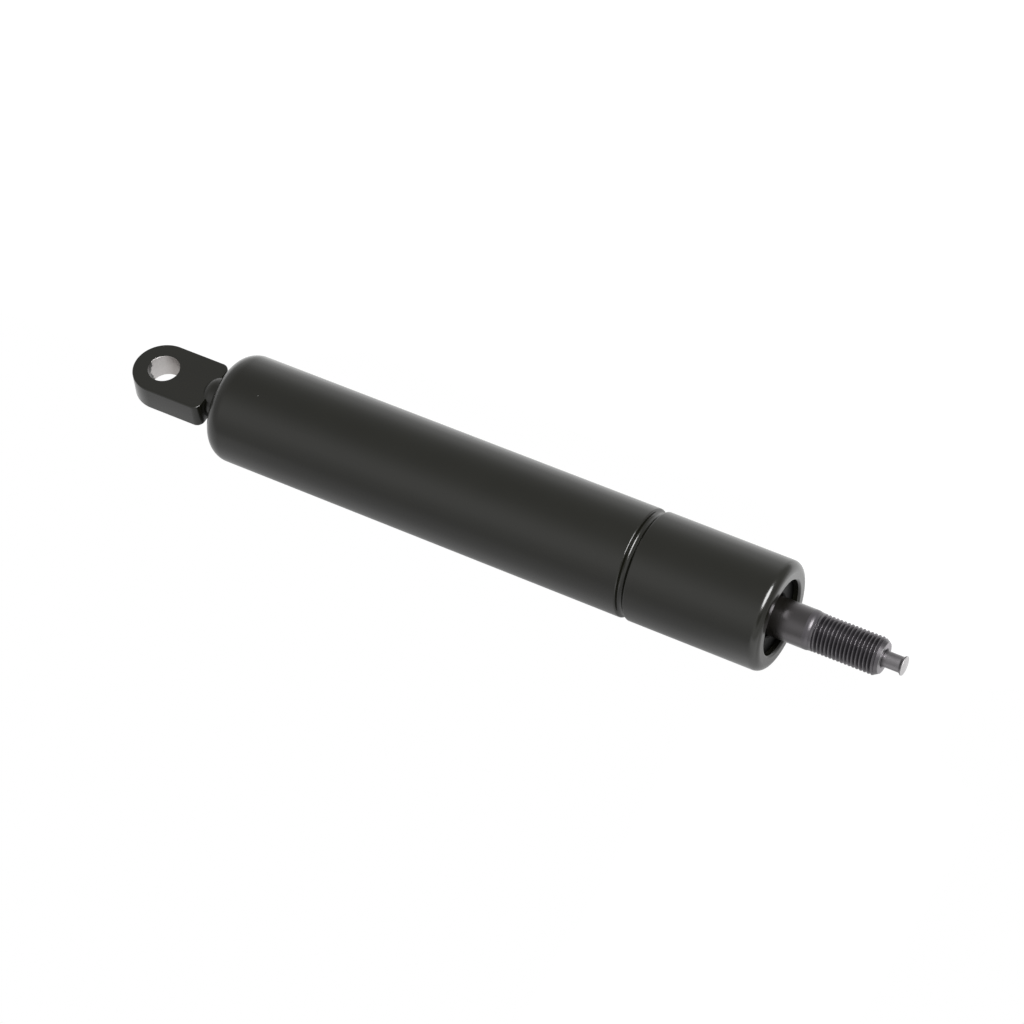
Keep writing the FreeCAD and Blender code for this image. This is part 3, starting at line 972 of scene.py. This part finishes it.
@dataclass(frozen=True)
class EyeEnd(SubAssembly):
    """Eye fitting: a flat tongue with a bore, a turned neck and the plug in the tube's base."""

    half_width: float  # half of the tongue's width, which is the radius of its nose
    base_x: float  # place of the tube's base
    plug_end: float  # place of the plug's inner end
    plug_radius: float
    ring_x: Span  # places of the plug's seal ring
    bore_radius: float  # radius of the cross bore
    half_thickness: float = 3.5 * MM  # half of the tongue's thickness
    neck_length: float = 3.8 * MM  # from the tongue's end to the tube's base
    corner_round: float = 2.0 * MM  # rounding of the tongue's corners, seen along the bore
    edge_round: float = 0.35 * MM  # rounding along the edges of both faces
    bore_chamfer: float = 0.1 * MM
    neck_radius: float = 5.3 * MM
    shoulder_inset: float = 0.6 * MM  # from the tongue's end back to the neck's shoulder
    shoulder_slope: float = math.radians(48)  # angle between the shoulder's front and the axis
    shoulder_round: float = 3.0 * MM
    base_wall: float = PaintedTube.base_wall  # thickness of the tube's base
    plug_round: float = 4.1 * MM  # rounding of the plug's outer edge
    ring_side: float = 0.1 * MM  # clearance of the seal ring in its groove
    ring_floor: float = 10.47 * MM  # radius of the groove's floor
    edge: float = 0.3 * MM  # rounding of the hidden edges

    OUTLINE_SPACING: ClassVar[float] = 0.4 * MM
    SHOULDER_SPACING: ClassVar[float] = 0.5 * MM
    FACE_STEPS: ClassVar[int] = 10
    EDGE_STEPS: ClassVar[int] = 8
    WALL_STEPS: ClassVar[int] = 12

    @classmethod
    def from_frame(cls) -> Self:
        """Take the eye's places from the frame and the bore's radius from its mount.

        Returns:
            The eye.
        """
        low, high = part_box("eye_fitting")
        ring_low, ring_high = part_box("base_o_ring")
        base_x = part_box("pressure_tube")[0].x
        return cls(-low.x, base_x, high.x, high.z, (ring_low.x, ring_high.x), mount_radius("eye_bore"))

    @property
    def reach(self) -> float:
        """Place of the tongue's square end."""
        return self.base_x - self.neck_length

    def tongue(self) -> Object:
        """Skin the tongue as a ring of outlines.

        The outline is drawn in by its normal times an inset and lifted to a height. Along a
        rounded edge the inset is round (1 - cos t) and the height falls by round (1 - sin t).
        Over a face the outline blends into the bore's circle, spoke by spoke.

        Returns:
            The tongue's piece.
        """
        width, reach = self.half_width, self.reach
        spacing = self.OUTLINE_SPACING
        plan = trace([
            Corner(-width, -width, width, spacing),
            Corner(reach, -width, self.corner_round, spacing),
            Corner(reach, width, self.corner_round, spacing),
            Corner(-width, width, width, spacing),
        ])
        along = unit(np.roll(plan, -1, axis=0) - np.roll(plan, 1, axis=0))
        outward = np.stack([along[:, 1], -along[:, 0]], axis=-1)
        spokes = unit(plan)

        turn = np.linspace(0, math.pi / 2, self.EDGE_STEPS + 1)[:, None, None]
        edge = plan - outward * self.edge_round * (1 - np.cos(turn))
        edge_height = self.half_thickness - self.edge_round * (1 - np.sin(turn))
        share = np.linspace(0, 1, self.FACE_STEPS + 1)[1:, None, None]
        rim = spokes * (self.bore_radius + self.bore_chamfer)
        face = (1 - share) * edge[-1] + share * rim
        wall_top = self.half_thickness - self.bore_chamfer
        wall = np.broadcast_to(spokes * self.bore_radius, (1, *spokes.shape))

        upper = np.concatenate([edge, face, wall])
        heights = np.concatenate([
            edge_height.ravel(),
            np.full(self.FACE_STEPS, self.half_thickness),
            [wall_top],
        ])
        bore_heights = np.linspace(wall_top, -wall_top, self.WALL_STEPS + 1)[1:-1]
        bore = np.broadcast_to(wall, (len(bore_heights), *spokes.shape))
        flat = np.concatenate([upper, bore, upper[::-1]])
        lift = np.concatenate([heights, bore_heights, -heights[::-1]])[:, None, None]
        grid = np.concatenate([flat, np.broadcast_to(lift, (*flat.shape[:2], 1))], axis=-1)
        return skin("eye_tongue", grid)

    def neck_and_plug(self) -> Object:
        """Turn the neck, with its sloped shoulder sunk in the tongue, and the plug.

        Returns:
            The turned piece.
        """
        plug_x = self.base_x + self.base_wall
        shoulder_x = self.reach - self.shoulder_inset
        root_x = shoulder_x - self.neck_radius / math.tan(self.shoulder_slope)
        ring_start = self.ring_x[0] - self.ring_side
        ring_end = self.ring_x[1] + self.ring_side
        section = [
            Corner(root_x, 0.0, spacing=self.SHOULDER_SPACING),
            Corner(shoulder_x, self.neck_radius, self.shoulder_round, self.SHOULDER_SPACING),
            Corner(plug_x, self.neck_radius),
            Corner(plug_x, self.plug_radius, self.plug_round),
            Corner(ring_start, self.plug_radius),
            Corner(ring_start, self.ring_floor),
            Corner(ring_end, self.ring_floor),
            Corner(ring_end, self.plug_radius),
            Corner(self.plug_end, self.plug_radius, self.edge),
            Corner(self.plug_end, 0.0),
        ]
        return lathe("eye_neck", section, ROD_SEGMENTS, closed=False)

    def build(self) -> list[Object]:
        """Fuse the tongue and the neck, and paint them.

        Returns:
            The eye's piece.
        """
        piece = self.tongue()
        unite(piece, self.neck_and_plug())
        piece.name = "painted_eye"
        finish = EyePaint(
            "eye_black_paint", bore_radius=self.bore_radius, half_thickness=self.half_thickness
        )
        return [self.settle(piece, finish, Body.CYLINDER, Slot.EYE_PAINT, "eye_fitting")]


@dataclass(frozen=True)
class HollowRod(SubAssembly):
    """Hollow rod with a spigot in the piston, a plain shank and a threaded end."""

    back_x: float  # place of the spigot's end
    end_x: float  # place of the threaded end's face
    radius: float  # radius of the shank
    shoulder_x: float  # place of the shoulder on the stop washer
    shank_end: float  # place where the shank's chamfer ends
    crest_radius: float  # radius of the thread's crests
    pitch: float = 1.0 * MM
    thread_depth: float = 0.53 * MM
    plain: float = 0.5 * MM  # length beside the shank that has no thread
    run_out: float = 1.0 * MM  # length over which the thread fades in after it
    chamfer: float = 0.6 * MM  # length of the shank's chamfer
    chamfer_round: float = 2.0 * MM  # rounding where the chamfer starts
    tip_length: float = 1.5 * MM  # length of the end's chamfer
    tip_radius: float = 3.9 * MM  # radius of the end's face
    spigot_radius: float = 4.0 * MM
    hole_radius: float = 2.1 * MM  # radius of the pin's hole
    mouth_radius: float = 2.5 * MM  # radius of the hole's countersink
    mouth_depth: float = 0.5 * MM  # depth of the countersink
    edge: float = 0.15 * MM  # rounding of the small edges

    STAND_OUT: ClassVar[float] = 8.7 * MM  # length of shank outside the tube
    ROWS_PER_PITCH: ClassVar[int] = 44
    FACE_DEPTH: ClassVar[float] = 0.1 * MM  # how far the end's bare face reaches back
    SATIN_LEAD: ClassVar[float] = 1.2 * MM  # length of the shank's end that is satin
    LAND: ClassVar[float] = 0.03  # half of the crest's land, in pitches
    BLUNT: ClassVar[float] = 0.025  # bluntness of the land's edges, in pitches

    @classmethod
    def from_frame(cls) -> Self:
        """Take the rod's places from the frame and the thread's radius from its mount.

        Returns:
            The rod.
        """
        low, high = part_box("piston_rod")
        shoulder_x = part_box("stop_washer")[1].x
        shank_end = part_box("pressure_tube")[1].x + cls.STAND_OUT
        return cls(low.x, high.x, high.z, shoulder_x, shank_end, mount_radius("rod_thread"))

    def blank(self) -> Array:
        """Section of the rod before its thread is cut.

        Returns:
            Closed section, with close rows where the thread comes.
        """
        close = self.pitch / self.ROWS_PER_PITCH
        mouth_x = self.end_x - self.mouth_depth
        return trace([
            Corner(self.back_x, self.hole_radius),
            Corner(self.back_x, self.spigot_radius, self.edge),
            Corner(self.shoulder_x, self.spigot_radius),
            Corner(self.shoulder_x, self.radius, self.edge),
            Corner(self.shank_end - self.chamfer, self.radius, self.chamfer_round),
            Corner(self.shank_end, self.crest_radius, 0.0, close),
            Corner(self.end_x - self.tip_length, self.crest_radius, 0.0, close),
            Corner(self.end_x, self.tip_radius, self.edge),
            Corner(self.end_x, self.mouth_radius, self.edge),
            Corner(mouth_x, self.hole_radius),
        ])

    def thread(self, grid: Array) -> Array:
        """Cut the right-hand thread into the rod's surface.

        The crest runs along x = pitch (a / full turn + k). At a distance s from the crest, in
        pitches, u = s - land is past the crest's land, and the cut is the slope of the flanks times
        (u + root(u squared + blunt squared)) / 2: flat on the land, blunt at its edges, straight
        down the flanks to a sharp root. Over the run-out the cut is lifted, so the groove grows
        from nothing. The surface is the smaller of the blank's radius and the crest radius less the
        cut.

        Args:
            grid: Points of the blank.

        Returns:
            Points of the threaded rod.
        """
        place = grid[..., 0]
        angle = np.linspace(0, TAU, grid.shape[1], endpoint=False)
        radius = np.hypot(grid[..., 1], grid[..., 2])
        phase = (place - self.shank_end) / self.pitch - angle / TAU
        start = np.clip((place - self.shank_end - self.plain) / self.run_out, 0, 1)
        past = np.abs(phase - np.round(phase)) - self.LAND
        flank = (past + np.hypot(past, self.BLUNT)) / (1 - 2 * self.LAND)
        cut = self.thread_depth * np.maximum(flank - 1 + start, 0)
        threaded = np.minimum(radius, self.crest_radius - cut)
        threaded = np.where(place > self.shank_end, threaded, radius)
        return np.stack([place, threaded * np.cos(angle), threaded * np.sin(angle)], axis=-1)

    def build(self) -> list[Object]:
        """Turn the rod and cut its thread.

        Returns:
            The rod's piece.
        """
        piece = skin("threaded_rod", self.thread(turned(self.blank(), ROD_SEGMENTS)))
        finish = NitridedSteel(
            "nitrided_rod_steel", (0.0085, 0.0076, 0.0092), 0.22, cloud=0.1, mark_depth=0.0003 * MM,
            face_x=self.end_x - self.FACE_DEPTH, face=(0.27, 0.27, 0.27),
            satin_x=self.shank_end - self.SATIN_LEAD,
            thread=(self.shank_end + self.plain, self.end_x - self.tip_length),
            crest_radius=self.crest_radius, thread_depth=self.thread_depth,
        )
        return [self.settle(piece, finish, Body.ROD, Slot.NITRIDED_ROD, "piston_rod")]


@dataclass(frozen=True)
class ReleasePin(SubAssembly):
    """Pin that opens the valve, with a head flared by upsetting its end."""

    back_x: float  # place of the end on the tappet
    tip_x: float  # place of the head's face
    head_radius: float
    radius: float = 2.0 * MM  # radius of the pin
    flare: float = 0.5 * MM  # length and rounding of the flare
    head_edge: float = 0.4 * MM  # length of the head's straight edge
    rim: float = 0.08 * MM  # rounding of the head's edge
    crown: float = 0.1 * MM  # height of the head's crown
    edge: float = 0.3 * MM  # rounding of the hidden end

    SEGMENTS: ClassVar[int] = 96

    @classmethod
    def from_frame(cls) -> Self:
        """Pin with the frame's places."""
        low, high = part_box("release_pin")
        return cls(low.x, high.x, high.z)

    def build(self) -> list[Object]:
        """Turn the pin with its flared head.

        Returns:
            The pin's piece.
        """
        section = [
            Corner(self.back_x, 0.0),
            Corner(self.back_x, self.radius, self.edge),
            Corner(self.tip_x - self.head_edge - self.flare, self.radius, self.flare),
            Corner(self.tip_x - self.head_edge, self.head_radius),
            Corner(self.tip_x - self.crown, self.head_radius, self.rim),
            Corner(self.tip_x, 0.0),
        ]
        piece = lathe("flared_pin", section, self.SEGMENTS, closed=False)
        finish = FacedMetal(
            "release_pin_steel", (0.153, 0.147, 0.153), 0.44, mark_depth=0.0002 * MM,
            face_x=self.tip_x - self.crown - self.rim, face=(0.52, 0.508, 0.512),
        )
        return [self.settle(piece, finish, Body.RELEASE, Slot.BRIGHT_STEEL, "release_pin")]


@dataclass(frozen=True)
class InnerWorks(SubAssembly):
    """Nodes of the frame that keep their own shape and get the record's finishes."""

    nodes: tuple[str, ...]  # names of the nodes

    def build(self) -> list[Object]:
        """Dress each node in the finish of its slot.

        Returns:
            The nodes.
        """
        slots = {row["node"]: Slot(row["material_slot"]) for row in frame["record"]["subparts"]}
        for name in self.nodes:
            FINISHES[slots[name]].apply(frame["nodes"][name])
        return [frame["nodes"][name] for name in self.nodes]


SEAL_PACKAGE = InnerWorks((
    "closing_washer", "rod_wiper", "rod_guide", "guide_bush",
    "guide_o_ring", "rod_seal", "seal_support_washer", "base_o_ring",
))
LOCKING_PISTON = InnerWorks((
    "stop_washer", "piston_body", "piston_seal", "piston_glide_ring",
    "tappet_seal", "tappet_guide", "valve_tappet", "valve_seal",
))
GAS_SEPARATOR = InnerWorks(("separator_piston", "separator_gas_seal", "separator_oil_seal"))


@dataclass(frozen=True)
class Zone:
    """Zone of the table or the room, as reflections show it."""

    level: float  # brightness, or gain of the brightness
    edge: Span  # places, or parts of a direction, between which it goes over into the next zone


@dataclass(frozen=True)
class Studio:
    """White table and room with their own levels in reflections, a large soft lamp, and the camera."""

    target: Point = (100.1107 * MM, 0.0, 0.2927 * MM)  # point that the camera looks at
    azimuth: float = 33.5524  # camera's direction round Z, in degrees; 0 looks along +Y
    elevation: float = 50.8107  # camera's height above the horizon, in degrees
    roll: float = -5.8753  # camera's roll, in degrees
    distance: float = 946.825 * MM  # camera's distance from the target
    focal_length: float = 136.886  # in millimetres, on the sensor's width
    sensor: float = 36.0  # sensor's width in millimetres
    clip: float = 0.01  # nearest distance that the camera sees
    floor_size: float = 8.0  # width of the table
    front_level: float = 0.68  # the room and the far table in front
    near_table: Zone = Zone(0.78, (-0.1, -0.03))  # close in front of the tube
    rear_table: Zone = Zone(1.15, (0.0, 0.07))
    rod_table: Zone = Zone(1.65, (0.145, 0.2))  # round the rod
    end_table: Zone = Zone(0.9, (0.215, 0.24))  # beyond the rod
    shadow: Zone = Zone(0.62, (0.01, 0.022))  # gain under the tube
    eye_glow: Zone = Zone(1.25, (0.04, 0.1))  # gain round the eye
    eye_end: Span = (-0.005, 0.035)  # where the eye's gain goes over into the tube's shadow
    backdrop_level: float = 1.42  # the wall behind
    ceiling_level: float = 0.47  # overhead
    panel_level: float = 1.12  # the soft panel above the camera
    left_room: Zone = Zone(0.62, (-0.9, -0.55))  # beyond the eye
    right_levels: Span = (1.1, 0.55)  # the room beyond the rod, in front and behind
    right_depth: Span = (-0.7, -0.1)  # edge between these two
    right_edge: Span = (-0.1, 0.3)  # edge towards the rest of the room
    camera_shade: Point = (0.577, -0.593, 0.56)  # direction of the dark patch beside the camera
    shade: Zone = Zone(0.25, (26, 10))  # gain in that patch, and its edge's angles in degrees
    lamp_direction: Point = (0.45, -0.07, 0.89)  # where the lamp hangs, seen from the target
    lamp_distance: float = 1.5  # how far it hangs
    lamp_size: Span = (1.3, 0.7)  # its widths across and along the spring
    lamp_power: float = 45.0  # in watts

    def build(self) -> None:
        """Set up the table, the room, the lamp and the camera."""
        bpy.context.scene.view_settings.view_transform = "Standard"
        self.table()
        self.room()
        self.lamp()
        self.camera()

    def white_to_camera(self, wiring: Wiring, kind: str, level: NodeSocket) -> Node:
        """Glowing shader of a kind, plain white to the camera and of its own level in reflections."""
        seen = wiring.add("ShaderNodeLightPath").outputs["Is Camera Ray"]
        return wiring.add(kind, {"Color": WHITE, "Strength": wiring.math("MAXIMUM", seen, level)})

    def table(self) -> None:
        """Lay the white table under the tube: in soft shadow there, brighter behind and at both ends."""
        half = self.floor_size / 2
        height = CAD_BOX[0].z
        mesh = bpy.data.meshes.new("table")
        corners = [(x, y, height) for x, y in ((-half, -half), (half, -half), (half, half), (-half, half))]
        mesh.from_pydata(corners, [], [(0, 1, 2, 3)])
        floor = put("table", mesh)
        material = bpy.data.materials.new("white_table")
        wiring = Wiring.of(material)
        along, across, _ = wiring.split(wiring.add("ShaderNodeTexCoord").outputs["Object"])
        crosswise = [(across, self.near_table), (across, self.rear_table)]
        lengthwise = [(along, self.rod_table), (along, self.end_table)]
        level = self.front_level
        for where, zone in crosswise + lengthwise:
            level = wiring.remap(where, zone.edge, (level, zone.level))
        aside = wiring.math("ABSOLUTE", across)
        gains = [wiring.remap(aside, zone.edge, (zone.level, 1.0)) for zone in (self.eye_glow, self.shadow)]
        gain = wiring.remap(along, self.eye_end, gains)
        glow = self.white_to_camera(wiring, "ShaderNodeEmission", wiring.times(level, gain))
        wiring.add("ShaderNodeOutputMaterial", {"Surface": glow.outputs["Emission"]})
        mesh.materials.append(material)

    def arch(self, wiring: Wiring, angle: NodeSocket) -> NodeSocket:
        """Level of the room round the spring, a smooth curve over levels at their angles.

        Args:
            wiring: The world's tree.
            angle: Socket of the angle from overhead towards the back, in radians.

        Returns:
            Socket of the level.
        """
        # Degrees from overhead towards the front, so the back is at -90
        stops = (
            (-100, self.backdrop_level),
            (-90, self.backdrop_level),
            (-48, self.ceiling_level),
            (10, self.ceiling_level),
            (46, self.panel_level),
            (56, self.panel_level),
            (84, self.front_level),
            (180, self.front_level),
        )
        overhead = 0.5  # place on the ramp, which is one full turn long
        share = wiring.math("MULTIPLY_ADD", angle, -1 / TAU, overhead)
        ramp = wiring.add("ShaderNodeValToRGB", {"Fac": share})
        ramp.color_ramp.interpolation = "B_SPLINE"
        elements = ramp.color_ramp.elements
        while len(elements) < len(stops):
            elements.new(1.0)
        for element, (degrees, level) in zip(elements, stops):
            element.position = degrees / 360 + overhead
            element.color = (level, level, level, 1)
        return wiring.add("ShaderNodeRGBToBW", {"Color": ramp.outputs["Color"]}).outputs[0]

    def room(self) -> None:
        """Shade the room by the angle round the spring, with its own levels beyond the eye and the rod."""
        world = bpy.data.worlds.new("studio")
        bpy.context.scene.world = world
        wiring = Wiring.of(world)
        direction = wiring.add("ShaderNodeTexCoord").outputs["Generated"]
        along, across, up = wiring.split(direction)
        level = self.arch(wiring, wiring.math("ARCTAN2", across, up))
        level = wiring.remap(along, self.left_room.edge, (self.left_room.level, level))
        right = wiring.remap(across, self.right_depth, self.right_levels)
        level = wiring.remap(along, self.right_edge, (level, right))
        towards = {0: direction, 1: self.camera_shade}
        nearness = wiring.add("ShaderNodeVectorMath", towards, operation="DOT_PRODUCT").outputs["Value"]
        edge = [math.cos(math.radians(angle)) for angle in self.shade.edge]
        gain = wiring.remap(nearness, edge, (1.0, self.shade.level))
        glow = self.white_to_camera(wiring, "ShaderNodeBackground", wiring.times(level, gain))
        wiring.add("ShaderNodeOutputWorld", {"Surface": glow.outputs["Background"]})

    def hang(self, item: Object, right: Vector, up: Vector, back: Vector, distance: float) -> None:
        """Turn an object to three axes and set it a distance back from the target."""
        turn = Matrix((right, up, back)).transposed().to_4x4()
        item.matrix_world = Matrix.Translation(Vector(self.target) + back * distance) @ turn

    def lamp(self) -> None:
        """Hang the soft lamp over the rod's side."""
        light = bpy.data.lights.new("soft_lamp", "AREA")
        light.shape = "ELLIPSE"
        light.size, light.size_y = self.lamp_size
        light.energy = self.lamp_power
        lamp = put("soft_lamp", light)
        lamp.visible_camera = False
        back = Vector(self.lamp_direction).normalized()
        side = Vector((0, 1, 0))
        side = (side - back * side.dot(back)).normalized()
        self.hang(lamp, side, back.cross(side), back, self.lamp_distance)

    def camera(self) -> None:
        """Place the camera at the photograph's angle."""
        azimuth, elevation, roll = map(math.radians, (self.azimuth, self.elevation, self.roll))
        level = math.cos(elevation)
        back = Vector((math.sin(azimuth) * level, -math.cos(azimuth) * level, math.sin(elevation)))
        right = Vector((0, 0, 1)).cross(back).normalized()
        up = back.cross(right)
        rolled_right = right * math.cos(roll) + up * math.sin(roll)
        rolled_up = up * math.cos(roll) - right * math.sin(roll)
        lens = bpy.data.cameras.new("photo_camera")
        lens.lens = self.focal_length
        lens.sensor_width = self.sensor
        lens.clip_start = self.clip
        camera = put("photo_camera", lens)
        self.hang(camera, rolled_right, rolled_up, back, self.distance)
        bpy.context.scene.camera = camera


def main() -> None:
    """Build the spring, set up the studio and report every piece."""
    logging.basicConfig(level=logging.INFO, format="%(name)s: %(message)s")
    assemblies: list[SubAssembly] = [
        PaintedTube.from_frame(),
        EyeEnd.from_frame(),
        HollowRod.from_frame(),
        ReleasePin.from_frame(),
        SEAL_PACKAGE,
        LOCKING_PISTON,
        GAS_SEPARATOR,
    ]
    for assembly in assemblies:
        for piece in assembly.build():
            LOG.info("%s, %s: %d faces", type(assembly).__name__, piece.name, len(piece.data.polygons))
    Studio().build()


if __name__ == "__main__":
    main()
